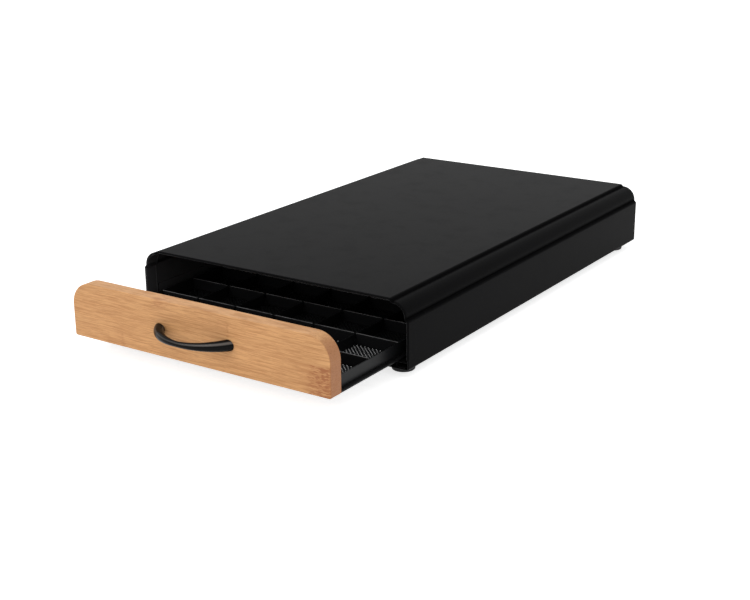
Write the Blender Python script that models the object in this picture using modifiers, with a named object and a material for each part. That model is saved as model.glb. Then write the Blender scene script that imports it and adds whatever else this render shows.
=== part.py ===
"""Coffee capsule drawer: a low steel housing with one sliding drawer.

The housing frame has y = 0 at the cover's front edge and z = 0 on the table top.
The drawer frame has y = 0 at the back face of the wooden front panel.
The scene's origin is under the middle of the whole object, with the drawer as it rests here.
"""

import math

import bmesh
import bpy

# Driving dimensions, in metres.

# Housing
HOUSING_WIDTH = 0.254
HOUSING_DEPTH = 0.405
COVER_HEIGHT = 0.053
COVER_SHEET = 0.0010
SHOULDER_RADIUS = 0.0122
SHOULDER_STEP = 0.0018
STEP_BEND_RADIUS = 0.0021
STEP_COVE_RADIUS = 0.0010
EDGE_BEND_RADIUS = 0.0016
HEM_DEPTH = 0.012
FLANGE_WIDTH = 0.028
BASE_SHEET = 0.0010
BASE_OVERLAP = 0.0165
BASE_SETBACK = 0.026
BACK_SHEET = 0.0010

# Feet
FOOT_HEIGHT = 0.0065
FOOT_RADIUS = 0.0095
FOOT_TAPER = 0.0006
FOOT_INSET_SIDE = 0.015
FOOT_INSET_END = 0.017
FOOT_RECESS_DEPTH = 0.0030

# Slides
LEDGE_HEIGHT = 0.0062
RUNNER_WIDTH = 0.0094
RUNNER_SHEET = 0.0008
KEEPER_REACH = 0.0087
KEEPER_RISE = 0.0115
STOP_LENGTH = 0.008
STOP_HEIGHT = 0.007
BUMPER_RADIUS = 0.005
BUMPER_LENGTH = 0.0040
BUMPER_SPREAD = 0.080

# Drawer
CELL_PITCH = 0.0381
FRONT_ALLOWANCE = 0.0039
TRAY_SIDE_GAP = 0.0010
TRAY_SHEET = 0.0010
FLOOR_SHEET = 0.0008
FLOOR_EDGE_THICKNESS = 0.0016
FLOOR_EDGE_WIDTH = 0.0037
TRAY_WALL_HEIGHT = 0.0098
DIVIDER_SHEET = 0.0008
LONG_DIVIDER_DROP = 0.0008
CROSS_SLOT_WIDTH = 0.0020
EAR_REACH = 0.0072
EAR_HEIGHT = 0.0062

# Front panel
PANEL_SIDE_GAP = 0.0060
PANEL_TOP_GAP = 0.0019
PANEL_THICKNESS = 0.0127
PANEL_TOP_RADIUS = 0.0183
PANEL_BOTTOM_RADIUS = 0.0018
PANEL_EASING = 0.0008
PANEL_LIFT = 0.0066

# Handle
HANDLE_CENTRES = 0.064
HANDLE_REACH = 0.0197
HANDLE_END_DIAMETER = 0.0087
HANDLE_MIDDLE_DIAMETER = 0.0044
HANDLE_POINTS = 25

# Screws: shank radius, head radius, head height
SMALL_SHANK = 0.0013
SMALL_HEAD = 0.0027
LARGE_SHANK = 0.0015
LARGE_HEAD = 0.0034
HEAD_HEIGHT = 0.0018
HANDLE_SCREW_GRIP = 0.0032
PANEL_SCREW_GRIP = 0.008
PANEL_SCREW_RISE = 0.0050
BASE_SCREW_INSET = 0.021
BASE_SCREW_FROM_END = 0.060
SCREW_TIP = 0.0030

# Motion
OPEN_AT_REST = 0.0863
TRAVEL_OUT = 0.205

# Clearances
GAP = 0.0003
SLIDE_GAP = 0.0004
HOLE_CLEARANCE = 0.0003
STOP_CLEARANCE = 0.0005

# Derived places
BOTTOM = FOOT_HEIGHT
TOP = BOTTOM + COVER_HEIGHT
HALF_WIDTH = HOUSING_WIDTH / 2
INNER_HALF = HALF_WIDTH - COVER_SHEET
LEDGE_TOP = BOTTOM + LEDGE_HEIGHT
RUNNER_OUTER = INNER_HALF - GAP
RUNNER_INNER = RUNNER_OUTER - RUNNER_WIDTH
BACK_FACE = HOUSING_DEPTH - GAP - BACK_SHEET
BUMPER_FACE = BACK_FACE - GAP - BUMPER_LENGTH
FLOOR_EDGE_BOTTOM = LEDGE_TOP + GAP
FLOOR_TOP = FLOOR_EDGE_BOTTOM + FLOOR_EDGE_THICKNESS
TRAY_TOP = FLOOR_TOP + TRAY_WALL_HEIGHT
TRAY_OUTER_HALF = RUNNER_INNER - TRAY_SIDE_GAP
TRAY_INNER_HALF = TRAY_OUTER_HALF - TRAY_SHEET
TRAY_END = BUMPER_FACE - STOP_CLEARANCE - GAP - TRAY_SHEET - PANEL_THICKNESS
COLUMNS = int(2 * TRAY_INNER_HALF / CELL_PITCH + 0.01)
ROWS = int((TRAY_END - FRONT_ALLOWANCE) / CELL_PITCH + 0.01)
COLUMN_PITCH = 2 * TRAY_INNER_HALF / COLUMNS
ROW_PITCH = (TRAY_END - FRONT_ALLOWANCE) / ROWS
KEEPER_BOTTOM = FLOOR_TOP + SLIDE_GAP
KEEPER_TOP = KEEPER_BOTTOM + RUNNER_SHEET
EAR_BOTTOM = KEEPER_TOP + SLIDE_GAP
EAR_FRONT = TRAY_END
EAR_TIP = TRAY_OUTER_HALF + EAR_REACH
PANEL_WIDTH = 2 * (INNER_HALF - PANEL_SIDE_GAP)
PANEL_HEIGHT = COVER_HEIGHT - COVER_SHEET - PANEL_TOP_GAP - PANEL_LIFT
PANEL_BOTTOM = BOTTOM + PANEL_LIFT
PANEL_MIDDLE = PANEL_BOTTOM + PANEL_HEIGHT / 2
BASE_HALF = HALF_WIDTH - FLANGE_WIDTH + BASE_OVERLAP
FOOT_X = HALF_WIDTH - FOOT_INSET_SIDE
BASE_SCREW_X = HALF_WIDTH - BASE_SCREW_INSET
DRAWER_Y = PANEL_THICKNESS - OPEN_AT_REST
FRONT_MOST = -OPEN_AT_REST - GAP - HANDLE_REACH
MIDDLE_Y = (FRONT_MOST + HOUSING_DEPTH) / 2

PARTS = None
CUTTERS = None
MATERIALS = {}


# ---------------------------------------------------------------- scene


def clear_scene():
    for obj in list(bpy.data.objects):
        bpy.data.objects.remove(obj)


def new_collection(name):
    collection = bpy.data.collections.new(name)
    bpy.context.scene.collection.children.link(collection)
    return collection


def make_material(name, colour, roughness, metallic=0.0):
    material = bpy.data.materials.new(name)
    material.use_nodes = True
    shader = material.node_tree.nodes["Principled BSDF"]
    shader.inputs["Base Color"].default_value = (*colour, 1.0)
    shader.inputs["Roughness"].default_value = roughness
    shader.inputs["Metallic"].default_value = metallic
    material.diffuse_color = (*colour, 1.0)
    MATERIALS[name] = material


def make_materials():
    make_material("black_satin_paint", (0.012, 0.012, 0.013), 0.38)
    make_material("black_tray_paint", (0.010, 0.010, 0.011), 0.45)
    make_material("bamboo", (0.58, 0.31, 0.145), 0.48)
    make_material("black_handle", (0.010, 0.010, 0.011), 0.25, 1.0)
    make_material("black_rubber", (0.016, 0.016, 0.017), 0.75)
    make_material("black_nylon", (0.022, 0.022, 0.024), 0.5)
    make_material("dark_screw", (0.05, 0.05, 0.055), 0.35, 1.0)


def empty(name, location, parent=None):
    obj = bpy.data.objects.new(name, None)
    PARTS.objects.link(obj)
    obj.location = location
    obj.parent = parent
    return obj


def add_object(name, mesh, material, parent, location=(0, 0, 0), rotation=(0, 0, 0)):
    obj = bpy.data.objects.new(name, mesh)
    PARTS.objects.link(obj)
    obj.parent = parent
    obj.location = location
    obj.rotation_euler = rotation
    if not mesh.materials:
        mesh.materials.append(MATERIALS[material])
    return obj


def shade_smooth(mesh, angle=math.radians(35)):
    mesh.shade_smooth()
    mesh.set_sharp_from_angle(angle=angle)


# ---------------------------------------------------------------- shapes


def arc(centre, radius, start, end, segments):
    """Points along an arc, with its angles in degrees."""
    points = []
    for i in range(segments + 1):
        angle = math.radians(start + (end - start) * i / segments)
        points.append((centre[0] + radius * math.cos(angle), centre[1] + radius * math.sin(angle)))
    return points


def bend(corner, before, after, radius, segments=4):
    """The arc that rounds a corner between the directions from before and towards after."""
    to_before = math.atan2(before[1] - corner[1], before[0] - corner[0])
    to_after = math.atan2(after[1] - corner[1], after[0] - corner[0])
    half = math.remainder(to_after - to_before, 2 * math.pi) / 2
    reach = radius / abs(math.sin(half))
    middle = to_before + half
    centre = (corner[0] + reach * math.cos(middle), corner[1] + reach * math.sin(middle))
    start = to_before - math.copysign(math.pi / 2, half)
    sweep = math.copysign(math.pi - abs(2 * half), -half)
    points = []
    for i in range(segments + 1):
        angle = start + sweep * i / segments
        points.append((centre[0] + radius * math.cos(angle), centre[1] + radius * math.sin(angle)))
    return points


def bent_path(corners, segments=4):
    """A path from (x, z, radius) corners, each rounded by its radius where it has one."""
    path = []
    for i, (x, z, radius) in enumerate(corners):
        if radius:
            path += bend((x, z), corners[i - 1][:2], corners[i + 1][:2], radius, segments)
        else:
            path.append((x, z))
    return path


def strip_mesh(name, path, start, end):
    """An open strip along y whose faces point to the left of the path, seen with y away."""
    mesh = bpy.data.meshes.new(name)
    bm = bmesh.new()
    near = [bm.verts.new((x, start, z)) for x, z in path]
    edges = [bm.edges.new((near[i], near[i + 1])) for i in range(len(near) - 1)]
    made = bmesh.ops.extrude_edge_only(bm, edges=edges)["geom"]
    far = [part for part in made if isinstance(part, bmesh.types.BMVert)]
    bmesh.ops.translate(bm, verts=far, vec=(0, end - start, 0))
    bmesh.ops.recalc_face_normals(bm, faces=bm.faces)
    first = bm.edges.get((near[0], near[1])).link_faces[0]
    along_x = near[1].co.x - near[0].co.x
    along_z = near[1].co.z - near[0].co.z
    if first.normal.x * -along_z + first.normal.z * along_x < 0:
        bmesh.ops.reverse_faces(bm, faces=bm.faces)
    bm.to_mesh(mesh)
    bm.free()
    return mesh


def add_wall(obj, thickness):
    wall = obj.modifiers.new("wall", "SOLIDIFY")
    wall.thickness = thickness
    wall.offset = -1
    wall.use_even_offset = True


def add_mirror(obj):
    mirror = obj.modifiers.new("other side", "MIRROR")
    mirror.merge_threshold = 0.0001


def outline_mesh(name, outlines, thickness):
    """A flat plate in the local XY plane from closed outlines; inner outlines are holes."""
    curve = bpy.data.curves.new(name, "CURVE")
    curve.dimensions = "2D"
    curve.fill_mode = "BOTH"
    curve.extrude = thickness / 2
    for outline in outlines:
        spline = curve.splines.new("POLY")
        spline.points.add(len(outline) - 1)
        for point, (x, y) in zip(spline.points, outline):
            point.co = (x, y, 0, 1)
        spline.use_cyclic_u = True
    return curve_to_mesh(name, curve)


def curve_to_mesh(name, curve):
    helper = bpy.data.objects.new(name, curve)
    bpy.context.scene.collection.objects.link(helper)
    graph = bpy.context.evaluated_depsgraph_get()
    mesh = bpy.data.meshes.new_from_object(helper.evaluated_get(graph))
    mesh.name = name
    bpy.data.objects.remove(helper)
    bm = bmesh.new()
    bm.from_mesh(mesh)
    bmesh.ops.remove_doubles(bm, verts=bm.verts, dist=0.000001)
    bmesh.ops.recalc_face_normals(bm, faces=bm.faces)
    bm.to_mesh(mesh)
    bm.free()
    return mesh


def rectangle(x0, y0, x1, y1):
    return [(x0, y0), (x1, y0), (x1, y1), (x0, y1)]


def circle(x, y, radius, segments=16):
    return arc((x, y), radius, 0, 360 - 360 / segments, segments - 1)


def box_mesh(name, size):
    mesh = bpy.data.meshes.new(name)
    bm = bmesh.new()
    bmesh.ops.create_cube(bm, size=1)
    bmesh.ops.scale(bm, vec=size, verts=bm.verts)
    bm.to_mesh(mesh)
    bm.free()
    return mesh


def turned_mesh(name, profile, closed=False):
    """The profile of a turned piece in the local XZ plane, outer side first, from top to bottom."""
    mesh = bpy.data.meshes.new(name)
    bm = bmesh.new()
    verts = [bm.verts.new((x, 0, z)) for x, z in profile]
    for first, second in zip(verts, verts[1:]):
        bm.edges.new((first, second))
    if closed:
        bm.edges.new((verts[-1], verts[0]))
    bm.to_mesh(mesh)
    bm.free()
    return mesh


def add_turn(obj, steps):
    turn = obj.modifiers.new("turned", "SCREW")
    turn.axis = "Z"
    turn.steps = steps
    turn.render_steps = steps
    turn.use_merge_vertices = True
    turn.merge_threshold = 0.00001
    turn.use_smooth_shade = True


def add_cutter(name, mesh, location, rotation, group, parent=None):
    cutter = bpy.data.objects.new(name, mesh)
    group.objects.link(cutter)
    cutter.location = location
    cutter.rotation_euler = rotation
    cutter.parent = parent
    cutter.hide_render = True
    cutter.display_type = "WIRE"
    return cutter


def drill_mesh(name, radius, length, segments=16):
    mesh = bpy.data.meshes.new(name)
    bm = bmesh.new()
    bmesh.ops.create_cone(
        bm, cap_ends=True, segments=segments, radius1=radius, radius2=radius, depth=length
    )
    bm.to_mesh(mesh)
    bm.free()
    return mesh


def cutter_group(name):
    group = bpy.data.collections.new(name)
    CUTTERS.children.link(group)
    return group


def cut_with(obj, group):
    cut = obj.modifiers.new("holes", "BOOLEAN")
    cut.operation = "DIFFERENCE"
    cut.operand_type = "COLLECTION"
    cut.collection = group


def mirrored_ends(near, length):
    """The same distance from both ends of a length."""
    return (near, length - near)


# ---------------------------------------------------------------- housing


def shoulder_corners(inset=0.0):
    """Corners and arc of one shoulder, going outwards from the flat top, set in by a distance."""
    centre_x = HALF_WIDTH - SHOULDER_STEP - SHOULDER_RADIUS
    centre_z = TOP - SHOULDER_STEP - SHOULDER_RADIUS
    mitre = inset * math.tan(math.radians(22.5))
    radius = SHOULDER_RADIUS - inset
    upper = [
        (centre_x - SHOULDER_STEP - mitre, TOP - inset),
        (centre_x - mitre, centre_z + radius),
    ]
    round_part = arc((centre_x, centre_z), radius, 90, 0, 10)
    lower = [
        (centre_x + radius, centre_z - mitre),
        (HALF_WIDTH - inset, centre_z - SHOULDER_STEP - mitre),
    ]
    return upper, round_part, lower


def cover_path():
    """Half of the cover's outer section, from the middle of the top to the flange's inner edge."""
    upper, round_part, lower = shoulder_corners()
    path = [(0.0, TOP)]
    path += bend(upper[0], path[0], upper[1], STEP_BEND_RADIUS, 3)
    path += bend(upper[1], upper[0], (upper[1][0] + 1, upper[1][1]), STEP_COVE_RADIUS, 2)
    path += round_part[1:-1]
    path += bend(lower[0], (lower[0][0], lower[0][1] + 1), lower[1], STEP_COVE_RADIUS, 2)
    path += bend(lower[1], lower[0], (lower[1][0], BOTTOM), STEP_BEND_RADIUS, 3)
    return path


def make_cover(frame):
    corner = (HALF_WIDTH, BOTTOM)
    flange_end = (HALF_WIDTH - FLANGE_WIDTH, BOTTOM)
    shoulder = cover_path()
    path = shoulder + bend(corner, shoulder[-1], flange_end, EDGE_BEND_RADIUS) + [flange_end]
    cover = add_object(
        "housing_cover", strip_mesh("housing_cover", path, 0, HOUSING_DEPTH), "black_satin_paint", frame
    )
    add_mirror(cover)
    add_wall(cover, COVER_SHEET)

    hem_path = shoulder + [(HALF_WIDTH, FLOOR_TOP)]
    hem = add_cutter(
        "folded_hem", strip_mesh("folded_hem", hem_path, 0, HEM_DEPTH), (0, 0, 0), (0, 0, 0), CUTTERS, frame
    )
    add_mirror(hem)
    add_wall(hem, 2 * COVER_SHEET)
    fold = cover.modifiers.new("folded hem", "BOOLEAN")
    fold.operation = "UNION"
    fold.object = hem

    holes = cutter_group("cover_holes")
    foot_drill = drill_mesh("foot_drill", LARGE_SHANK + HOLE_CLEARANCE, 4 * COVER_SHEET)
    base_drill = drill_mesh("base_drill", SMALL_SHANK + HOLE_CLEARANCE, 4 * COVER_SHEET)
    for side in (-1, 1):
        for y in mirrored_ends(FOOT_INSET_END, HOUSING_DEPTH):
            add_cutter("foot_hole", foot_drill, (side * FOOT_X, y, BOTTOM), (0, 0, 0), holes, frame)
        for y in mirrored_ends(BASE_SCREW_FROM_END, HOUSING_DEPTH):
            add_cutter("base_hole", base_drill, (side * BASE_SCREW_X, y, BOTTOM), (0, 0, 0), holes, frame)
    cut_with(cover, holes)
    shade_smooth(cover.data)


def make_base_plate(frame):
    outlines = [rectangle(-BASE_HALF, BASE_SETBACK, BASE_HALF, BACK_FACE - GAP)]
    for side in (-1, 1):
        rear_foot_y = HOUSING_DEPTH - FOOT_INSET_END
        outlines.append(circle(side * FOOT_X, rear_foot_y, LARGE_SHANK + HOLE_CLEARANCE))
        for y in mirrored_ends(BASE_SCREW_FROM_END, HOUSING_DEPTH):
            outlines.append(circle(side * BASE_SCREW_X, y, SMALL_SHANK + HOLE_CLEARANCE))
    middle_z = BOTTOM + COVER_SHEET + GAP + BASE_SHEET / 2
    add_object(
        "base_plate", outline_mesh("base_plate", outlines, BASE_SHEET), "black_satin_paint", frame, (0, 0, middle_z)
    )


def make_back_panel(frame):
    upper, round_part, lower = shoulder_corners(COVER_SHEET + GAP)
    foot = (HALF_WIDTH - COVER_SHEET - GAP - EDGE_BEND_RADIUS, BOTTOM + COVER_SHEET + GAP)
    knee = (HALF_WIDTH - COVER_SHEET - GAP, foot[1] + EDGE_BEND_RADIUS)
    half = upper + round_part + lower + [knee, foot]
    outline = half + [(-x, z) for x, z in reversed(half)]
    add_object(
        "back_panel",
        outline_mesh("back_panel", [outline], BACK_SHEET),
        "black_satin_paint",
        frame,
        (0, BACK_FACE + BACK_SHEET / 2, 0),
        (math.pi / 2, 0, 0),
    )


def add_pair(name, mesh, material, frame, start, end):
    """The right piece and, turned half round, the left one, of a section that runs from start to end."""
    right = add_object(name + "_right", mesh, material, frame)
    left = add_object(name + "_left", mesh, material, frame, (0, start + end, 0), (0, 0, math.pi))
    return right, left


def make_runners(frame):
    """A channel on each side, open outwards, whose upper face carries the tray's edge."""
    low = BOTTOM + COVER_SHEET + GAP
    bend_radius = 1.4 * RUNNER_SHEET
    lower_lip = RUNNER_OUTER - EDGE_BEND_RADIUS
    path = bent_path(
        [
            (lower_lip, low, 0),
            (RUNNER_INNER, low, bend_radius),
            (RUNNER_INNER, LEDGE_TOP, bend_radius),
            (RUNNER_OUTER, LEDGE_TOP, 0),
        ]
    )
    start = GAP
    end = BACK_FACE - GAP
    mesh = strip_mesh("runner", path, start, end)
    shade_smooth(mesh)
    for runner in add_pair("runner", mesh, "black_satin_paint", frame, start, end):
        add_wall(runner, RUNNER_SHEET)


def make_keepers(frame):
    """An angle on each side, with its lip over the tray's edge."""
    outer = INNER_HALF - GAP
    path = bent_path(
        [
            (outer - KEEPER_REACH, KEEPER_BOTTOM, 0),
            (outer, KEEPER_BOTTOM, 1.4 * RUNNER_SHEET),
            (outer, KEEPER_BOTTOM + KEEPER_RISE, 0),
        ]
    )
    path.reverse()
    start = max(HEM_DEPTH, PANEL_THICKNESS) + 4 * GAP
    end = BACK_FACE - GAP
    mesh = strip_mesh("keeper", path, start, end)
    shade_smooth(mesh)
    for keeper in add_pair("keeper", mesh, "black_satin_paint", frame, start, end):
        add_wall(keeper, RUNNER_SHEET)


def make_stops(frame):
    """Nylon blocks on the keepers, which the ears of the tray's back wall meet when it is pulled out."""
    outer = INNER_HALF - 2 * GAP - RUNNER_SHEET
    inner = TRAY_OUTER_HALF + 4 * SLIDE_GAP
    rear = DRAWER_Y + EAR_FRONT - TRAVEL_OUT - STOP_CLEARANCE
    mesh = box_mesh("drawer_stop", (outer - inner, STOP_LENGTH, STOP_HEIGHT))
    for name, side in (("left", -1), ("right", 1)):
        place = (side * (outer + inner) / 2, rear - STOP_LENGTH / 2, KEEPER_TOP + GAP + STOP_HEIGHT / 2)
        stop = add_object("drawer_stop_" + name, mesh, "black_nylon", frame, place)
        easing = stop.modifiers.new("eased edges", "BEVEL")
        easing.width = 2 * GAP
        easing.segments = 1


def make_bumpers(frame):
    """Rubber bumpers on the back panel, which the closed drawer meets."""
    rounding = BUMPER_RADIUS / 4
    profile = [(0, BUMPER_LENGTH)]
    profile += arc((BUMPER_RADIUS - rounding, BUMPER_LENGTH - rounding), rounding, 90, 0, 3)
    profile += [(BUMPER_RADIUS, 0), (0, 0)]
    mesh = turned_mesh("rear_bumper", profile)
    height = FLOOR_TOP + TRAY_WALL_HEIGHT / 2
    for name, side in (("left", -1), ("right", 1)):
        place = (side * BUMPER_SPREAD, BACK_FACE - GAP, height)
        bumper = add_object("rear_bumper_" + name, mesh, "black_rubber", frame, place, (math.pi / 2, 0, 0))
        add_turn(bumper, 20)


def make_feet(frame):
    """Rubber feet with a recess for the screw's head, and their screws."""
    top = FOOT_HEIGHT - GAP
    hole = LARGE_SHANK + HOLE_CLEARANCE
    recess = LARGE_HEAD + 2 * HOLE_CLEARANCE
    rounding = 2 * FOOT_TAPER
    profile = [(hole, top), (FOOT_RADIUS, top)]
    profile += arc((FOOT_RADIUS - FOOT_TAPER - rounding, rounding), rounding, 0, -90, 3)
    profile += [(recess, 0), (recess, FOOT_RECESS_DEPTH), (hole, FOOT_RECESS_DEPTH)]
    foot_mesh = turned_mesh("foot", profile, closed=True)
    grip = top - FOOT_RECESS_DEPTH + COVER_SHEET + BASE_SHEET + 2 * GAP + SCREW_TIP
    screw_mesh = screw_profile("foot_screw", LARGE_SHANK, LARGE_HEAD, grip)
    for end, y in zip(("front", "rear"), mirrored_ends(FOOT_INSET_END, HOUSING_DEPTH)):
        for name, side in (("left", -1), ("right", 1)):
            foot = add_object(f"foot_{end}_{name}", foot_mesh, "black_rubber", frame, (side * FOOT_X, y, 0))
            add_turn(foot, 28)
            place = (side * FOOT_X, y, FOOT_RECESS_DEPTH - GAP)
            screw = add_object(f"foot_screw_{end}_{name}", screw_mesh, "dark_screw", frame, place)
            add_turn(screw, 14)


def screw_profile(name, shank, head, grip):
    """A pan-head screw along +z, with the underside of its head at z = 0."""
    profile = [
        (0, grip),
        (shank * 0.55, grip),
        (shank, grip - shank),
        (shank, 0),
        (head, 0),
        (head, -HEAD_HEIGHT * 0.45),
        (head * 0.72, -HEAD_HEIGHT),
        (0, -HEAD_HEIGHT),
    ]
    return turned_mesh(name, profile)


def make_base_screws(frame):
    grip = COVER_SHEET + BASE_SHEET + 2 * GAP + SCREW_TIP
    mesh = screw_profile("base_screw", SMALL_SHANK, SMALL_HEAD, grip)
    for end, y in zip(("front", "rear"), mirrored_ends(BASE_SCREW_FROM_END, HOUSING_DEPTH)):
        for name, side in (("left", -1), ("right", 1)):
            place = (side * BASE_SCREW_X, y, BOTTOM - GAP)
            screw = add_object(f"base_screw_{end}_{name}", mesh, "dark_screw", frame, place)
            add_turn(screw, 12)


# ---------------------------------------------------------------- drawer


def make_tray_floor(drawer):
    """The floor, with an edge on each side that is folded under and slides on the ledge."""
    edge_outer = TRAY_OUTER_HALF + FLOOR_EDGE_WIDTH
    edge_inner = TRAY_OUTER_HALF
    sheet_bottom = FLOOR_TOP - FLOOR_SHEET
    section = [
        (-edge_outer, FLOOR_EDGE_BOTTOM),
        (-edge_inner, FLOOR_EDGE_BOTTOM),
        (-edge_inner, sheet_bottom),
        (edge_inner, sheet_bottom),
        (edge_inner, FLOOR_EDGE_BOTTOM),
        (edge_outer, FLOOR_EDGE_BOTTOM),
        (edge_outer, FLOOR_TOP),
        (-edge_outer, FLOOR_TOP),
    ]
    start = GAP
    end = TRAY_END + TRAY_SHEET + GAP
    add_object(
        "tray_floor",
        outline_mesh("tray_floor", [section], end - start),
        "black_tray_paint",
        drawer,
        (0, (start + end) / 2, 0),
        (math.pi / 2, 0, 0),
    )


def make_tray_walls(drawer):
    low = FLOOR_TOP + GAP
    start = 2 * GAP + TRAY_SHEET
    end = TRAY_END - GAP
    side_mesh = outline_mesh("tray_side", [rectangle(start, low, end, TRAY_TOP)], TRAY_SHEET)
    for name, side in (("left", -1), ("right", 1)):
        place = (side * (TRAY_INNER_HALF + TRAY_SHEET / 2), 0, 0)
        add_object(
            "tray_side_" + name, side_mesh, "black_tray_paint", drawer, place, (math.pi / 2, 0, math.pi / 2)
        )

    outlines = [rectangle(-TRAY_OUTER_HALF, low, TRAY_OUTER_HALF, TRAY_TOP)]
    for x in panel_screw_places():
        outlines.append(circle(x, FLOOR_TOP + PANEL_SCREW_RISE, SMALL_SHANK + HOLE_CLEARANCE, 12))
    add_object(
        "tray_front",
        outline_mesh("tray_front", outlines, TRAY_SHEET),
        "black_tray_paint",
        drawer,
        (0, GAP + TRAY_SHEET / 2, 0),
        (math.pi / 2, 0, 0),
    )

    ear_top = EAR_BOTTOM + EAR_HEIGHT
    half = [
        (TRAY_OUTER_HALF, low),
        (TRAY_OUTER_HALF, EAR_BOTTOM),
        (EAR_TIP, EAR_BOTTOM),
        (EAR_TIP, ear_top),
        (TRAY_OUTER_HALF, ear_top),
        (TRAY_OUTER_HALF, TRAY_TOP),
    ]
    outline = half + [(-x, z) for x, z in reversed(half)]
    add_object(
        "tray_back",
        outline_mesh("tray_back", [outline], TRAY_SHEET),
        "black_tray_paint",
        drawer,
        (0, EAR_FRONT + TRAY_SHEET / 2, 0),
        (math.pi / 2, 0, 0),
    )


def comb_outline(start, end, low, high, slots, slot_width, slot_depth, from_top):
    """A strip with a row of slots in its upper or its lower edge."""
    base, edge, depth = (low, high, -slot_depth) if from_top else (high, low, slot_depth)
    outline = [(end, base), (start, base), (start, edge)]
    for place in slots:
        outline += [
            (place - slot_width / 2, edge),
            (place - slot_width / 2, edge + depth),
            (place + slot_width / 2, edge + depth),
            (place + slot_width / 2, edge),
        ]
    return outline + [(end, edge)]


def column_lines():
    return [(i - COLUMNS / 2) * COLUMN_PITCH for i in range(1, COLUMNS)]


def row_lines():
    return [FRONT_ALLOWANCE + i * ROW_PITCH for i in range(1, ROWS)]


def make_dividers(drawer):
    """Crosswise strips slotted from above and lengthwise strips slotted from below, halved together."""
    low = FLOOR_TOP + GAP
    height = TRAY_TOP - low
    cross_outline = comb_outline(
        GAP - TRAY_INNER_HALF,
        TRAY_INNER_HALF - GAP,
        low,
        TRAY_TOP,
        column_lines(),
        CROSS_SLOT_WIDTH,
        height / 2 + GAP,
        from_top=True,
    )
    cross_mesh = outline_mesh("cross_divider", [cross_outline], DIVIDER_SHEET)
    for i, y in enumerate(row_lines(), 1):
        add_object(f"cross_divider_{i}", cross_mesh, "black_tray_paint", drawer, (0, y, 0), (math.pi / 2, 0, 0))

    long_outline = comb_outline(
        2 * GAP + TRAY_SHEET,
        TRAY_END - GAP,
        low,
        TRAY_TOP - LONG_DIVIDER_DROP,
        row_lines(),
        DIVIDER_SHEET + 2 * GAP,
        height / 2,
        from_top=False,
    )
    long_mesh = outline_mesh("long_divider", [long_outline], DIVIDER_SHEET)
    for i, x in enumerate(column_lines(), 1):
        turned = (math.pi / 2, 0, math.pi / 2)
        add_object(f"long_divider_{i}", long_mesh, "black_tray_paint", drawer, (x, 0, 0), turned)


def panel_screw_places():
    """Two screws on each side, each in the middle of a column of cells."""
    inner = ((COLUMNS + 1) // 2 - (COLUMNS - 1) / 2) * COLUMN_PITCH
    outer = TRAY_INNER_HALF - COLUMN_PITCH / 2
    return (-outer, -inner, inner, outer)


def make_panel(drawer):
    half = PANEL_WIDTH / 2
    top = PANEL_BOTTOM + PANEL_HEIGHT
    upper = arc((half - PANEL_TOP_RADIUS, top - PANEL_TOP_RADIUS), PANEL_TOP_RADIUS, 90, 0, 12)
    lower = arc((half - PANEL_BOTTOM_RADIUS, PANEL_BOTTOM + PANEL_BOTTOM_RADIUS), PANEL_BOTTOM_RADIUS, 0, -90, 3)
    right = upper + lower
    outline = right + [(-x, z) for x, z in reversed(right)]
    mesh = outline_mesh("front_panel", [outline], PANEL_THICKNESS)
    panel = add_object(
        "front_panel", mesh, "bamboo", drawer, (0, -PANEL_THICKNESS / 2, 0), (math.pi / 2, 0, 0)
    )
    easing = panel.modifiers.new("eased edges", "BEVEL")
    easing.width = PANEL_EASING
    easing.segments = 2
    easing.angle_limit = math.radians(60)

    holes = cutter_group("panel_holes")
    through = drill_mesh("handle_screw_drill", LARGE_SHANK + HOLE_CLEARANCE, 2 * PANEL_THICKNESS)
    for side in (-1, 1):
        place = (side * HANDLE_CENTRES / 2, -PANEL_THICKNESS / 2, PANEL_MIDDLE)
        add_cutter("handle_screw_hole", through, place, (math.pi / 2, 0, 0), holes, drawer)
    pilot = drill_mesh("panel_screw_drill", SMALL_SHANK + HOLE_CLEARANCE, 2 * (PANEL_SCREW_GRIP + GAP), 12)
    for x in panel_screw_places():
        place = (x, 0, FLOOR_TOP + PANEL_SCREW_RISE)
        add_cutter("panel_screw_hole", pilot, place, (math.pi / 2, 0, 0), holes, drawer)
    cut_with(panel, holes)
    shade_smooth(mesh)


def make_panel_screws(drawer):
    grip = TRAY_SHEET + 2 * GAP + PANEL_SCREW_GRIP
    mesh = screw_profile("panel_screw", SMALL_SHANK, SMALL_HEAD, grip - GAP)
    for i, x in enumerate(panel_screw_places(), 1):
        place = (x, 2 * GAP + TRAY_SHEET, FLOOR_TOP + PANEL_SCREW_RISE)
        screw = add_object(f"panel_screw_{i}", mesh, "dark_screw", drawer, place, (math.pi / 2, 0, 0))
        add_turn(screw, 12)


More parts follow.
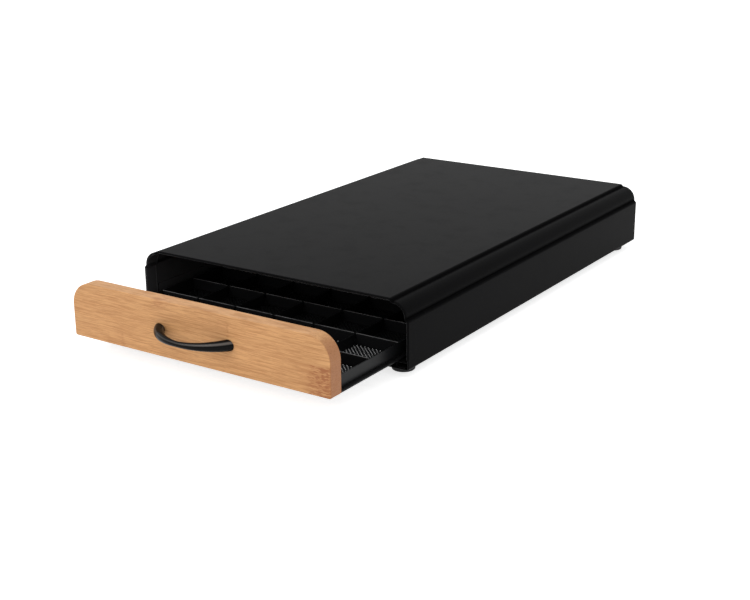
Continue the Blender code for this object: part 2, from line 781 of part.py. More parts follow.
def make_handle(drawer):
    """A bow whose middle line is one arc; its ends are cut flat a small gap before the panel."""
    half = HANDLE_CENTRES / 2
    rise = HANDLE_REACH - HANDLE_MIDDLE_DIAMETER / 2
    radius = (half * half + rise * rise) / (2 * rise)
    end_angle = math.asin(half / radius)
    overrun = 0.6 * HANDLE_END_DIAMETER / radius
    curve = bpy.data.curves.new("handle", "CURVE")
    curve.dimensions = "3D"
    curve.bevel_depth = 1.0
    curve.bevel_resolution = 4
    curve.use_fill_caps = True
    spline = curve.splines.new("POLY")
    spline.points.add(HANDLE_POINTS - 1)
    for i, point in enumerate(spline.points):
        angle = (end_angle + overrun) * (2 * i / (HANDLE_POINTS - 1) - 1)
        x = radius * math.sin(angle)
        out = radius * math.cos(angle) - (radius - rise)
        share = min(1.0, abs(x) / half)
        width = HANDLE_END_DIAMETER - HANDLE_MIDDLE_DIAMETER
        point.co = (x, -out, 0, 1)
        point.radius = (HANDLE_MIDDLE_DIAMETER + width * share**1.5) / 2
    mesh = curve_to_mesh("handle", curve)
    place = (0, -PANEL_THICKNESS - GAP, PANEL_MIDDLE)
    handle = add_object("handle", mesh, "black_handle", drawer, place)

    holes = cutter_group("handle_holes")
    trim_depth = 2 * HANDLE_END_DIAMETER
    trim = box_mesh("handle_trim", (2 * HANDLE_CENTRES, trim_depth, 2 * HANDLE_END_DIAMETER))
    add_cutter("handle_trim", trim, (0, trim_depth / 2, 0), (0, 0, 0), holes, handle)
    drill = drill_mesh("handle_drill", LARGE_SHANK + HOLE_CLEARANCE, 2 * HANDLE_SCREW_GRIP)
    for side in (-1, 1):
        add_cutter("handle_hole", drill, (side * half, 0, 0), (math.pi / 2, 0, 0), holes, handle)
    cut_with(handle, holes)
    shade_smooth(mesh)


def make_handle_screws(drawer):
    grip = PANEL_THICKNESS + GAP + HANDLE_SCREW_GRIP
    mesh = screw_profile("handle_screw", LARGE_SHANK, LARGE_HEAD, grip)
    for name, side in (("left", -1), ("right", 1)):
        place = (side * HANDLE_CENTRES / 2, GAP, PANEL_MIDDLE)
        screw = add_object(f"handle_screw_{name}", mesh, "dark_screw", drawer, place, (math.pi / 2, 0, 0))
        add_turn(screw, 14)


# ---------------------------------------------------------------- all


def main():
    global PARTS, CUTTERS
    clear_scene()
    PARTS = new_collection("capsule_drawer")
    CUTTERS = new_collection("cutters")
    make_materials()

    housing = empty("housing_frame", (0, -MIDDLE_Y, 0))
    make_cover(housing)
    make_base_plate(housing)
    make_back_panel(housing)
    make_runners(housing)
    make_keepers(housing)
    make_stops(housing)
    make_bumpers(housing)
    make_feet(housing)
    make_base_screws(housing)

    drawer = empty("drawer_slide_frame", (0, DRAWER_Y, 0), housing)
    make_tray_floor(drawer)
    make_tray_walls(drawer)
    make_dividers(drawer)
    make_panel(drawer)
    make_panel_screws(drawer)
    make_handle(drawer)
    make_handle_screws(drawer)


main()
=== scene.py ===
"""A coffee capsule drawer: a low black steel housing that a machine stands on, and one drawer
with a bamboo front, a black bow handle, a perforated floor and a grid of low dividers.

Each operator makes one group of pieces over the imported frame; main() runs them in order.
"""

import functools
import math

import bmesh
import bpy
from mathutils import Matrix, Vector


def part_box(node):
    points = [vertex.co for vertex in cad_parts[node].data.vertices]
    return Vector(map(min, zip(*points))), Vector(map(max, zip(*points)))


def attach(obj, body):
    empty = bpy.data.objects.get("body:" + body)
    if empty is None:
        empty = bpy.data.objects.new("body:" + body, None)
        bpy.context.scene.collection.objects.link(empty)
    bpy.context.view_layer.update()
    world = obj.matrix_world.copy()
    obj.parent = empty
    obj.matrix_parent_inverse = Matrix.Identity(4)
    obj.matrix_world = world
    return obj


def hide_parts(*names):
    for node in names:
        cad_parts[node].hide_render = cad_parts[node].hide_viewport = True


bl_info = {
    "name": "Capsule Drawer",
    "version": (1, 0, 0),
    "blender": (4, 5, 0),
    "location": "3D View > Sidebar > Capsule Drawer",
    "description": "Builds a capsule drawer with its perforated tray, bamboo front and studio",
    "category": "Object",
}

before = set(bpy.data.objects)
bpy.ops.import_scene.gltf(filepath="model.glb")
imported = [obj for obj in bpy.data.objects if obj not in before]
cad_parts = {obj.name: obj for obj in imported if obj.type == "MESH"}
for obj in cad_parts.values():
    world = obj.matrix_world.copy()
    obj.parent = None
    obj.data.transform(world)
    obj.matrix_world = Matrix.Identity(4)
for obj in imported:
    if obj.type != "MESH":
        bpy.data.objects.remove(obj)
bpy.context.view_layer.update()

MM = 0.001
MICRON = 0.000001
NODE_NAMES = sorted(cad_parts)

COVER_LOW, COVER_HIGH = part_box("housing_cover")
FLOOR_LOW, FLOOR_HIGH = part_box("tray_floor")
PANEL_LOW, PANEL_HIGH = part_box("front_panel")
HANDLE_LOW, HANDLE_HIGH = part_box("handle")


def nodes_named(*starts):
    """The frame's node names that begin with any of these words."""
    return [name for name in NODE_NAMES if name.startswith(starts)]


def middle(node):
    low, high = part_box(node)
    return (low + high) / 2


# ---- sizes and finishes


def number(name, description, default, **kind):
    return bpy.props.FloatProperty(name=name, description=description, default=default, **kind)


def size(name, description, default):
    return number(name, description, default, unit="LENGTH")


def paint(name, description, *default):
    return bpy.props.FloatVectorProperty(
        name=name, description=description, subtype="COLOR", size=4, default=(*default, 1.0)
    )


class HousingSizes(bpy.types.PropertyGroup):
    """Sizes of the steel housing"""

    sheet: size("Sheet", "Thickness of the cover's sheet", 0.0010)
    shoulder_radius: size("Shoulder radius", "Radius of the rounded shoulders", 0.01178)
    shoulder_step: size("Shoulder step", "Depth of the step beside each shoulder", 0.0018)
    shoulder_width: size("Shoulder width", "Width of a shoulder, from its step to the side", 0.0140)
    bend_radius: size("Bend radius", "Outer radius of the steps' convex bends", 0.0021)
    cove_radius: size("Cove radius", "Outer radius of the steps' hollow bends", 0.0010)
    edge_radius: size("Lower bend", "Radius of the bend between side and flange", 0.0016)
    flange: size("Flange", "Width of the flange under each side", 0.028)
    hem: size("Hem", "Depth of the hem behind the front edge", 0.012)
    edge_easing: size("Edge easing", "Rounding of cut sheet edges", 0.00018)


class DrawerSizes(bpy.types.PropertyGroup):
    """Sizes of the drawer's visible details"""

    hole_pitch: size("Hole pitch", "Distance between neighbouring holes of the floor", 0.00245)
    hole_size: size("Hole size", "Diameter of the floor's holes", 0.00125)
    floor_sheet: size("Floor sheet", "Thickness of the perforated sheet", 0.0003)
    panel_radius: size("Panel corner", "Radius of the panel's upper corners", 0.0183)
    panel_easing: size("Panel easing", "Rounding of the panel's edges", 0.0008)
    handle_ends: size("Handle ends", "Distance between the handle's ends, middle to middle", 0.064)
    handle_thick: size("Handle end thickness", "Diameter at the handle's ends", 0.0087)
    handle_thin: size("Handle middle thickness", "Diameter in the handle's middle", 0.0044)


class Finishes(bpy.types.PropertyGroup):
    """Colours of the finishes"""

    housing: paint("Housing paint", "Satin paint of the housing", 0.0040, 0.0040, 0.0043)
    tray: paint("Tray paint", "Smoother paint of the tray", 0.0085, 0.0088, 0.0095)
    bamboo: paint("Bamboo", "Pale tone of the bamboo", 0.672, 0.358, 0.153)
    bamboo_dark: paint("Bamboo streaks", "Dark tone of the bamboo's streaks", 0.400, 0.170, 0.060)
    handle: paint("Handle", "Lacquer of the handle", 0.0035, 0.0034, 0.0034)
    rubber: paint("Rubber", "Rubber of the feet and bumpers", 0.014, 0.014, 0.015)
    nylon: paint("Nylon", "Nylon of the stop blocks", 0.022, 0.022, 0.024)
    screw: paint("Screws", "Blackened steel of the screws", 0.060, 0.060, 0.066)


class StageSettings(bpy.types.PropertyGroup):
    """Floor, light and camera"""

    azimuth: number(
        "Azimuth", "Where the camera stands, round the drawer from its front", math.radians(33.797),
        subtype="ANGLE",
    )
    elevation: number(
        "Elevation", "The camera's angle above the horizon", math.radians(18.476), subtype="ANGLE"
    )
    roll: number("Roll", "How far the camera leans over", -0.0085, subtype="ANGLE")
    distance: size("Distance", "From the camera to its aim", 1.155)
    aim: bpy.props.FloatVectorProperty(
        name="Aim", description="The point that the camera looks at", default=(0.00278, -0.00629, 0.0001),
        subtype="TRANSLATION", size=3,
    )
    lens: number("Lens", "Focal length in millimetres", 64.78)
    shift: number("Shift", "Upward shift of the view, as a share of its width", -0.0032)
    sky: number("Sky", "Strength of the even light all round", 0.70)
    key: number("Key light", "Power of the large softbox at the front left", 6.6, unit="POWER")
    strip: number("Strip light", "Power of the narrow softbox above", 4.5, unit="POWER")
    floor: paint("Floor", "Colour of the floor", 0.86, 0.86, 0.86)
    floor_lift: number("Floor lift", "White added to the floor where the camera sees it", 0.74)


# ---- shader sums


class Value:
    """A shader socket that takes part in Python sums, each of which adds a Math node."""

    def __init__(self, shader, socket):
        self.shader = shader
        self.socket = socket

    def sum(self, operation, *others):
        return self.shader.maths(operation, self, *others)

    def __add__(self, other):
        return self.sum("ADD", other)

    def __sub__(self, other):
        return self.sum("SUBTRACT", other)

    def __rsub__(self, other):
        return self.shader.maths("SUBTRACT", other, self)

    def __mul__(self, other):
        return self.sum("MULTIPLY", other)

    def __truediv__(self, other):
        return self.sum("DIVIDE", other)

    def __rtruediv__(self, other):
        return self.shader.maths("DIVIDE", other, self)

    def __abs__(self):
        return self.sum("ABSOLUTE")

    __radd__ = __add__
    __rmul__ = __mul__


class Shader:
    """A material and the nodes that make it."""

    def __init__(self, name, **constants):
        self.material = bpy.data.materials.new(name)
        self.material.use_nodes = True
        self.nodes = self.material.node_tree.nodes
        self.links = self.material.node_tree.links
        self.surface = self.nodes["Principled BSDF"]
        self.feed(self.surface, {key.replace("_", " "): value for key, value in constants.items()})

    def feed(self, node, sockets):
        for key, value in sockets.items():
            if isinstance(value, Value):
                self.links.new(value.socket, node.inputs[key])
            else:
                node.inputs[key].default_value = value

    def node(self, kind, settings=None, sockets=None, output=0):
        """Adds one node of any type and gives one of its outputs."""
        made = self.nodes.new(kind)
        for key, value in (settings or {}).items():
            setattr(made, key, value)
        self.feed(made, sockets or {})
        return Value(self, made.outputs[output])

    def maths(self, operation, *values):
        return self.node("ShaderNodeMath", {"operation": operation}, dict(enumerate(values)))

    def split(self, vector):
        made = self.nodes.new("ShaderNodeSeparateXYZ")
        self.links.new(vector.socket, made.inputs[0])
        return [Value(self, part) for part in made.outputs]

    def places(self):
        """Object coordinates, as one vector and as three values in millimetres."""
        vector = self.node("ShaderNodeTexCoord", output="Object")
        return vector, [part * 1000 for part in self.split(vector)]

    def facing(self, axis):
        """One part of the surface's own direction, 0 for x, 1 for y and 2 for z."""
        return self.split(self.node("ShaderNodeNewGeometry", output="Normal"))[axis]

    def vector(self, x, y, z):
        return self.node("ShaderNodeCombineXYZ", sockets={0: x, 1: y, 2: z})

    def noise(self, vector, scale, detail=2.0, roughness=0.5, distortion=0.0):
        sockets = {"Vector": vector, "Scale": scale, "Detail": detail, "Roughness": roughness}
        return self.node("ShaderNodeTexNoise", sockets={**sockets, "Distortion": distortion})

    def grain(self, x, y, z, *details):
        """Noise over coordinates that are already stretched."""
        return self.noise(self.vector(x, y, z), 1.0, *details)

    def ease(self, value, low, high, start=0.0, end=1.0):
        """A smooth step from start to end as the value goes from low to high."""
        sockets = {0: value, 1: low, 2: high, 3: start, 4: end}
        return self.node("ShaderNodeMapRange", {"interpolation_type": "SMOOTHSTEP"}, sockets)

    def mix(self, share, first, second):
        return self.node("ShaderNodeMix", {"data_type": "RGBA"}, {0: share, 6: first, 7: second}, output=2)

    def bump(self, height, strength, distance, normal=None):
        sockets = {"Strength": strength, "Distance": distance, "Height": height}
        if normal:
            sockets["Normal"] = normal
        return self.node("ShaderNodeBump", sockets=sockets)

    def finish(self, **sockets):
        self.feed(self.surface, {key.replace("_", " "): value for key, value in sockets.items()})
        return self.material


def scaled(colour, share):
    return (*(channel * share for channel in colour[:3]), 1.0)


DUST = (0.04, 0.04, 0.042, 1.0)
# Painted highlight: the paler paint on the dividers' upper edges and the hem's inner edge, standing in for
# caught light.
PAINTED_EDGE_HIGHLIGHT = (0.16, 0.16, 0.165, 1.0)
# Painted light: the paler colour of the housing's faces turned to its middle.
INSIDE_PAINTED_LIGHT = (0.055, 0.055, 0.058, 1.0)


def painted_steel(
    name, colour, gloss, peel, smooth=0.36, edge_highlight_above=None, inside=None, hem_edge=None, grooves=None
):
    """Powder coat: a fine orange-peel surface, faint handling marks and a little settled dust.

    Above a given height in millimetres, a painted highlight pales the paint, as on the dividers' upper edges.
    Faces turned to the middle take an inside colour as painted light, and a painted highlight at the hem's
    edge.
    At the grooves' (x, z) places the paint is rougher, and darker as painted shade beside each shoulder.
    """
    shader = Shader(name, Specular_IOR_Level=gloss)
    ease, mix, noise, grain = shader.ease, shader.mix, shader.noise, shader.grain
    place, (x, y, z) = shader.places()
    broad = noise(place, 14.0, 3.0, 0.55)
    fine = noise(place, 900.0, 2.0, 0.6)
    speck = ease(noise(place, 420.0, 1.0), 0.70, 0.80)
    marks = ease(noise(place, 55.0, 4.0, 0.7), 0.45, 0.75)
    tone = mix(ease(broad, 0.3, 0.7), scaled(colour, 0.92), scaled(colour, 1.08))
    tone = mix(speck * 0.12, tone, DUST)
    # Painted highlight along the dividers' upper edges: paler above the given height, broken up by noise.
    if edge_highlight_above:
        highlight_depth = 0.25
        highlight_breakup = ease(grain(x / 12, y / 12, z / 2, 3.0, 0.6), 0.30, 0.60, 0.45, 1.0)
        tone = mix(ease(z, edge_highlight_above, edge_highlight_above + highlight_depth) * highlight_breakup, tone, PAINTED_EDGE_HIGHLIGHT)
    # Painted light on the faces turned to the middle, and a painted highlight along the hem's inner edge.
    if inside:
        sideways = ease(shader.facing(0) * x / 100.0, -0.2, -0.6)
        inward = sideways.sum("MAXIMUM", ease(shader.facing(2), -0.2, -0.6))
        tone = mix(inward, tone, inside)
        tone = mix(inward * ease(abs(y - hem_edge), 0.9, 0.4), tone, PAINTED_EDGE_HIGHLIGHT)
    rough = smooth + 0.03 * marks + 0.02 * (broad - 0.5)
    if grooves:
        near = 0.0
        for across, height in grooves:
            away_x, away_z = abs(x) - across, z - height
            distance = (away_x * away_x + away_z * away_z).sum("SQRT")
            near = ease(distance, 3.4, 0.5) + near
        # Painted shade: the grooves are darkened in colour; their added roughness is real.
        tone = mix(near * 0.7, tone, scaled(colour, 0.3))
        rough = rough + 0.5 * near
    coarse_peel = shader.bump(noise(place, 330.0, 2.0, 0.5), peel, 0.00006)
    fine_peel = shader.bump(fine, peel * 0.6, 0.00003, coarse_peel)
    return shader.finish(Base_Color=tone, Roughness=rough, Normal=fine_peel)


BAMBOO_SEAMS = (34.0, 46.0)
GROWTH_RING = (0.370, 0.140, 0.054, 1.0)
END_GRAIN = (0.47, 0.205, 0.092, 1.0)
END_FIBRE = (0.30, 0.115, 0.045, 1.0)
# Each growth node in millimetres: its middle along the board, the lower and upper height of its strip,
# the width of its band and of the shade beside it; and its strength.
GROWTH_NODES = (
    (-31.0, 51.0, 61.0, 10.0, 5.0, 0.42),
    (32.0, 41.0, 51.0, 1.2, 58.0, 0.42),
    (117.0, 9.0, 35.5, 17.0, 34.0, 1.0),
    (-70.0, 12.0, 24.0, 2.0, 30.0, 0.35),
)


def bamboo_board(name, pale, dark):
    """Laminated bamboo strips with long broken streaks, fine fibres and a few growth nodes."""
    shader = Shader(name, Specular_IOR_Level=0.25)
    ease, mix, noise, grain = shader.ease, shader.mix, shader.noise, shader.grain
    place, (x, y, z) = shader.places()
    drift = (noise(place, 22.0, 1.0) - 0.5) * 2.2
    bend = z + drift
    lower, upper = [ease(bend, seam - 0.2, seam + 0.2) for seam in BAMBOO_SEAMS]
    along = x + (lower + upper) * 173.0

    streaks = grain(along / 28, y / 5, bend / 0.95, 4.0, 0.60, 0.1)
    second = grain(along / 18, y / 3, bend / 0.85 + 40.0)
    long_streaks = grain(along / 110, y / 8, bend / 3.4)
    fibres = grain(along / 11, y / 0.8, bend / 0.60 + 90.0)
    pores = ease(grain(along / 3.6, y / 0.7, bend / 0.40), 0.60, 0.72)
    broad = grain(along / 60, y / 20, z / 12, 1.0)

    def growth_node(centre, low, high, width, shade, strength):
        """The band where a strip crosses a ring of the cane: short wavy strokes, and a redder side."""
        here = ease(bend, low - 0.7, low + 0.7) * ease(bend, high - 0.7, high + 0.7, 1.0, 0.0)
        wave = (grain(x / 7, 0.0, z / 1.6, 3.0, 0.6) - 0.5) * (width * 1.5 + 3.0)
        away = x - centre + wave
        band = ease(abs(away), width * 0.5, width, 1.0, 0.0)
        strokes = ease(grain(x / 4.5, y / 2, z / 1.1), 0.44, 0.56)
        side = ease(away, -shade, 0.0) * ease(away, 0.0, width * 0.6, 1.0, 0.0)
        along_grain = ease(streaks, 0.36, 0.60, 0.35, 1.0)
        return here * (band * (0.12 + 0.88 * strokes) + 0.55 * side * along_grain) * strength

    nodes = growth_node(*GROWTH_NODES[0])
    for growth in GROWTH_NODES[1:]:
        nodes = nodes.sum("MAXIMUM", growth_node(*growth))

    tone = mix(ease(broad, 0.30, 0.70), scaled(pale, 0.96), scaled(pale, 1.03))
    for share, colour in (
        (ease(long_streaks, 0.46, 0.70) * 0.12, dark),
        (ease(streaks, 0.46, 0.38) * 0.22, scaled(pale, 1.20)),
        (ease(streaks, 0.51, 0.58) * 0.36, dark),
        (ease(second, 0.53, 0.60) * 0.30, dark),
        (ease(fibres, 0.50, 0.57) * 0.26, dark),
        (pores * 0.22, scaled(dark, 0.7)),
        (nodes * 0.72, GROWTH_RING),
    ):
        tone = mix(share, tone, colour)

    end_grain = ease(abs(shader.facing(0)), 0.35, 0.9)
    dots = ease(grain(x / 3, y / 0.75, z / 0.75, 2.0, 0.6), 0.48, 0.66)
    tone = mix(end_grain * 0.85, tone, mix(dots * 0.5, END_GRAIN, END_FIBRE))
    rough = 0.44 + 0.14 * ease(streaks, 0.4, 0.7) + 0.06 * fibres
    relief = shader.bump(streaks * 0.5 + fibres * 0.5 - pores * 0.6, 0.40, 0.00010)
    return shader.finish(Base_Color=tone, Roughness=rough, Normal=relief)


# Colour of the handle's painted highlight.
HANDLE_PAINTED_HIGHLIGHT = (0.120, 0.111, 0.104, 1.0)


def handle_lacquer(name, colour):
    """Smooth black lacquer over cast metal, with a painted highlight along its upper side, brightest to the
    right.
    """
    shader = Shader(name, Specular_IOR_Level=0.06)
    place, (x, _, _) = shader.places()
    cloud = shader.noise(place, 60.0, 2.0)
    tone = shader.mix(cloud, scaled(colour, 0.8), scaled(colour, 1.35))
    upward = shader.facing(2)
    # Painted highlight: paler lacquer along the upper side, brighter towards the right end.
    painted_highlight = shader.ease(upward, 0.34, 0.58) * shader.ease(upward, 0.70, 0.88, 1.0, 0.0)
    painted_highlight = painted_highlight * shader.ease(x, -8.0, 26.0, 0.38, 1.0)
    tone = shader.mix(painted_highlight, tone, HANDLE_PAINTED_HIGHLIGHT)
    flow = shader.bump(shader.noise(place, 170.0, 2.0), 0.10, 0.00005)
    return shader.finish(Base_Color=tone, Roughness=0.10 + 0.05 * cloud, Normal=flow)


def moulded(name, colour, rough, grain):
    """Rubber or nylon with a matt moulded grain and a paler bloom in places."""
    shader = Shader(name, Specular_IOR_Level=0.32)
    place, _ = shader.places()
    bloom = shader.noise(place, 130.0, 3.0, 0.6)
    tone = shader.mix(shader.ease(bloom, 0.35, 0.75), scaled(colour, 0.85), scaled(colour, 1.5))
    pits = shader.bump(shader.noise(place, grain, 3.0, 0.7), 0.30, 0.00005)
    return shader.finish(Base_Color=tone, Roughness=rough + 0.14 * (bloom - 0.5), Normal=pits)


def blackened_steel(name, colour):
    """Black oxide on steel, worn a little brighter in places."""
    shader = Shader(name)
    place, _ = shader.places()
    worn = shader.ease(shader.noise(place, 480.0, 4.0, 0.7), 0.52, 0.74)
    tone = shader.mix(worn, colour, scaled(colour, 2.6))
    lines = shader.bump(shader.noise(place, 1600.0, 2.0), 0.2, 0.00003)
    metallic, rough = 0.85 - 0.2 * worn, 0.46 - 0.12 * worn
    return shader.finish(Base_Color=tone, Metallic=metallic, Roughness=rough, Normal=lines)


def groove_places(sizes):
    """The (x, z) middles of the hollow bends on either side of the right shoulder, in millimetres."""
    upper = (COVER_HIGH.x - sizes.shoulder_width, COVER_HIGH.z - sizes.shoulder_step)
    lower = (COVER_HIGH.x - sizes.shoulder_step, COVER_HIGH.z - sizes.shoulder_width)
    return [(x / MM, z / MM) for x, z in (upper, lower)]


@functools.cache
def material(slot):
    """One of the finishes, made when it is first asked for."""
    finish, sizes = bpy.context.scene.drawer_finishes, bpy.context.scene.housing_sizes
    makers = {
        "housing_paint": lambda: painted_steel(
            "satin_black_housing_paint", finish.housing, gloss=0.0120, peel=0.10,
            # The inside colour is painted light, and the hem's inner edge gets a painted highlight.
            inside=INSIDE_PAINTED_LIGHT,
            hem_edge=(COVER_LOW.y + sizes.hem) / MM,
            grooves=groove_places(sizes),
        ),
        "tray_paint": lambda: painted_steel(
            "black_tray_paint", finish.tray, gloss=0.112, peel=0.10, smooth=0.34
        ),
        # Painted shade: the dividers take the tray's paint a tenth darker, and their upper edges a painted
        # highlight.
        "divider_paint": lambda: painted_steel(
            "matt_black_divider_paint", scaled(finish.tray, 0.9), gloss=0.024, peel=0.10, smooth=0.40,
            edge_highlight_above=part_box("tray_side_left")[1].z / MM - 0.35,
        ),
        "bamboo": lambda: bamboo_board("laminated_bamboo", finish.bamboo, finish.bamboo_dark),
        "handle": lambda: handle_lacquer("black_handle_lacquer", finish.handle),
        "rubber": lambda: moulded("black_rubber", finish.rubber, 0.72, 1400.0),
        "nylon": lambda: moulded("black_nylon", finish.nylon, 0.48, 700.0),
        "screw": lambda: blackened_steel("blackened_screw_steel", finish.screw),
    }
    return makers[slot]()


# ---- shapes


def new_object(name, data):
    obj = bpy.data.objects.new(name, data)
    bpy.context.scene.collection.objects.link(obj)
    return obj


def mesh_from(name, build):
    """A mesh made by a function that fills a bmesh."""
    bm = bmesh.new()
    build(bm)
    mesh = bpy.data.meshes.new(name)
    bm.to_mesh(mesh)
    bm.free()
    return mesh


def settle(obj):
    """Applies an object's modifiers, so that it is a plain mesh."""
    bpy.context.view_layer.update()
    graph = bpy.context.evaluated_depsgraph_get()
    mesh = bpy.data.meshes.new_from_object(obj.evaluated_get(graph))
    obj.modifiers.clear()
    obj.data = mesh
    return obj


def smooth(mesh, angle=38):
    mesh.shade_smooth()
    mesh.set_sharp_from_angle(angle=math.radians(angle))
    return mesh


def shaped(name, build, angle=38):
    """A smoothly shaded object made by a function that fills a bmesh."""
    return new_object(name, smooth(mesh_from(name, build), angle))


def place_piece(obj, slot, body, *replaced, finish=None):
    """Gives a finished piece its material, its body and the nodes that it stands for."""
    obj.data.materials.clear()
    obj.data.materials.append(material(finish or slot))
    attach(obj, body)
    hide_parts(*replaced)
    return obj


def round_edges(obj, width, segments=3, angle=40):
    """Rounds the edges that are sharper than the angle."""
    rounding = obj.modifiers.new("rounded edges", "BEVEL")
    rounding.width = width
    rounding.segments = segments
    rounding.limit_method = "ANGLE"
    rounding.angle_limit = math.radians(angle)
    rounding.harden_normals = True
    return settle(obj)


def eased_copy(name, nodes):
    """One mesh of the frame's plain sheet pieces, merged, with every cut edge slightly rounded."""

    def build(bm):
        for node in nodes:
            bm.from_mesh(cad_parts[node].data)
        bmesh.ops.remove_doubles(bm, verts=bm.verts, dist=2 * MICRON)
        bmesh.ops.dissolve_limit(bm, angle_limit=math.radians(1), verts=bm.verts, edges=bm.edges)
        turn_outwards(bm)

    obj = new_object(name, mesh_from(name, build))
    obj.data.materials.clear()
    smooth(obj.data)
    return round_edges(obj, bpy.context.scene.housing_sizes.edge_easing)


def sheet_pieces(body, *pieces):
    """Eased copies of plain nodes, from the piece's name, its slot and the starts of the nodes' names."""
    for name, slot, *starts in pieces:
        nodes = nodes_named(*starts)
        place_piece(eased_copy(name, nodes), slot, body, *nodes)


def rounded_path(corners, step=7.5, support=0.0004):
    """Points and outward normals along (x, z, radius) corners, each bend rounded by its radius.

    A support point on either side of each bend keeps the flats flat when they are shaded.
    """
    points = []
    for i, (x, z, radius) in enumerate(corners):
        here = Vector((x, z))
        before = (here - Vector(corners[i - 1][:2])).normalized() if i else None
        after = (Vector(corners[i + 1][:2]) - here).normalized() if i + 1 < len(corners) else None
        if before is None or after is None:
            along = after or before
            points.append((here, Vector((-along.y, along.x))))
            continue
        turn = math.atan2(before.cross(after), before.dot(after))
        reach = radius * math.tan(abs(turn) / 2)
        side = math.copysign(1.0, turn)
        start = here - before * reach
        centre = start + Vector((-before.y, before.x)) * side * radius
        count = max(2, round(abs(math.degrees(turn)) / step))
        points.append((start - before * support, Vector((-before.y, before.x))))
        for k in range(count + 1):
            spin = Matrix.Rotation(turn * k / count, 2)
            normal = spin @ Vector((-before.y, before.x))
            points.append((centre - normal * side * radius, normal))
        points.append((here + after * (reach + support), Vector((-after.y, after.x))))
    return points


def turn_outwards(bm, weld=0.0):
    """Turns every face outwards, after points within the weld distance are joined."""
    if weld:
        bmesh.ops.remove_doubles(bm, verts=bm.verts, dist=weld)
    bmesh.ops.recalc_face_normals(bm, faces=bm.faces)


def tube(bm, places):
    """Joins each ring of places to the next one, and closes both ends."""
    rings = [[bm.verts.new(place) for place in ring] for ring in places]
    for first, second in zip(rings, rings[1:]):
        for k in range(len(first)):
            m = (k + 1) % len(first)
            bm.faces.new((first[k], first[m], second[m], second[k]))
    bm.faces.new(rings[0])
    bm.faces.new(rings[-1])


def turned(name, profile, segments, place=(0, 0, 0), axis="Z"):
    """A closed turned piece from (radius, height) points; a ring profile ends where it starts."""

    def build(bm):
        rings = []
        for radius, height in profile:
            count = segments if radius >= 1e-9 else 1
            angles = [2 * math.pi * k / segments for k in range(count)]
            rings.append([bm.verts.new((radius * math.cos(a), radius * math.sin(a), height)) for a in angles])
        for first, second in zip(rings, rings[1:]):
            for k in range(segments):
                m = (k + 1) % segments
                places = ((first, k), (first, m), (second, m), (second, k))
                corners = [ring[i % len(ring)] for ring, i in places]
                bm.faces.new(list(dict.fromkeys(corners)))
        turn_outwards(bm, MICRON)
        if axis == "Y":
            bmesh.ops.rotate(bm, verts=bm.verts, matrix=Matrix.Rotation(math.pi / 2, 3, "X"))
        bmesh.ops.translate(bm, verts=bm.verts, vec=place)

    return smooth(mesh_from(name, build))


def quarter(centre_r, centre_z, radius, start, end, count=5):
    """Profile points round a part of a circle, with its angles in degrees."""
    angles = [math.radians(start + (end - start) * k / count) for k in range(count + 1)]
    return [(centre_r + radius * math.cos(a), centre_z + radius * math.sin(a)) for a in angles]


# ---- repeated shapes


def copies_tree(name, inputs, points, merge=None):
    """A Geometry Nodes tree: a shape on each of its points, made real, with its finish.

    The function points takes the tree's inputs and a function that adds one node, and gives the points.
    """
    tree = bpy.data.node_groups.new(name, "GeometryNodeTree")
    for way in ("OUTPUT", "INPUT"):
        tree.interface.new_socket("Geometry", in_out=way, socket_type="NodeSocketGeometry")
    for title, kind in {"Shape": "Object", **inputs, "Finish": "Material"}.items():
        tree.interface.new_socket(title, in_out="INPUT", socket_type="NodeSocket" + kind)
    source = tree.nodes.new("NodeGroupInput").outputs

    def add(kind, settings=None, **sockets):
        made = tree.nodes.new(kind)
        for key, value in (settings or {}).items():
            setattr(made, key, value)
        for key, value in sockets.items():
            socket = made.inputs[key.replace("_", " ")]
            if isinstance(value, bpy.types.NodeSocket):
                tree.links.new(value, socket)
            else:
                socket.default_value = value
        return made.outputs

    shape = add("GeometryNodeObjectInfo", {"transform_space": "ORIGINAL"}, Object=source["Shape"])
    placed = add("GeometryNodeInstanceOnPoints", Points=points(source, add), Instance=shape["Geometry"])
    real = add("GeometryNodeRealizeInstances", Geometry=placed[0])[0]
    if merge:
        real = add("GeometryNodeMergeByDistance", Geometry=real, Distance=merge)[0]
    done = add("GeometryNodeSetMaterial", Geometry=real, Material=source["Finish"])[0]
    tree.links.new(done, tree.nodes.new("NodeGroupOutput").inputs[0])
    return tree


@functools.cache
def row_tree():
    """Copies of a shape in a straight row."""

    def line(source, add):
        start, step = source["Start"], source["Step"]
        return add("GeometryNodeMeshLine", Count=source["Count"], Start_Location=start, Offset=step)[0]

    return copies_tree("row of copies", {"Count": "Int", "Start": "Vector", "Step": "Vector"}, line)


@functools.cache
def scatter_tree():
    """Copies of a shape at the object's own points."""
    return copies_tree("copies at places", {}, lambda source, add: source["Geometry"])


@functools.cache
def field_tree():
    """Copies of a tile over a rectangle, joined into one sheet."""
    inputs = {"Columns": "Int", "Rows": "Int", "Width": "Float", "Length": "Float", "Centre": "Vector"}

    def grid(source, add):
        flat = add(
            "GeometryNodeMeshGrid", Size_X=source["Width"], Size_Y=source["Length"],
            Vertices_X=source["Columns"], Vertices_Y=source["Rows"],
        )
        return add("GeometryNodeTransform", Geometry=flat[0], Translation=source["Centre"])[0]

    return copies_tree("field of tiles", inputs, grid, merge=20 * MICRON)


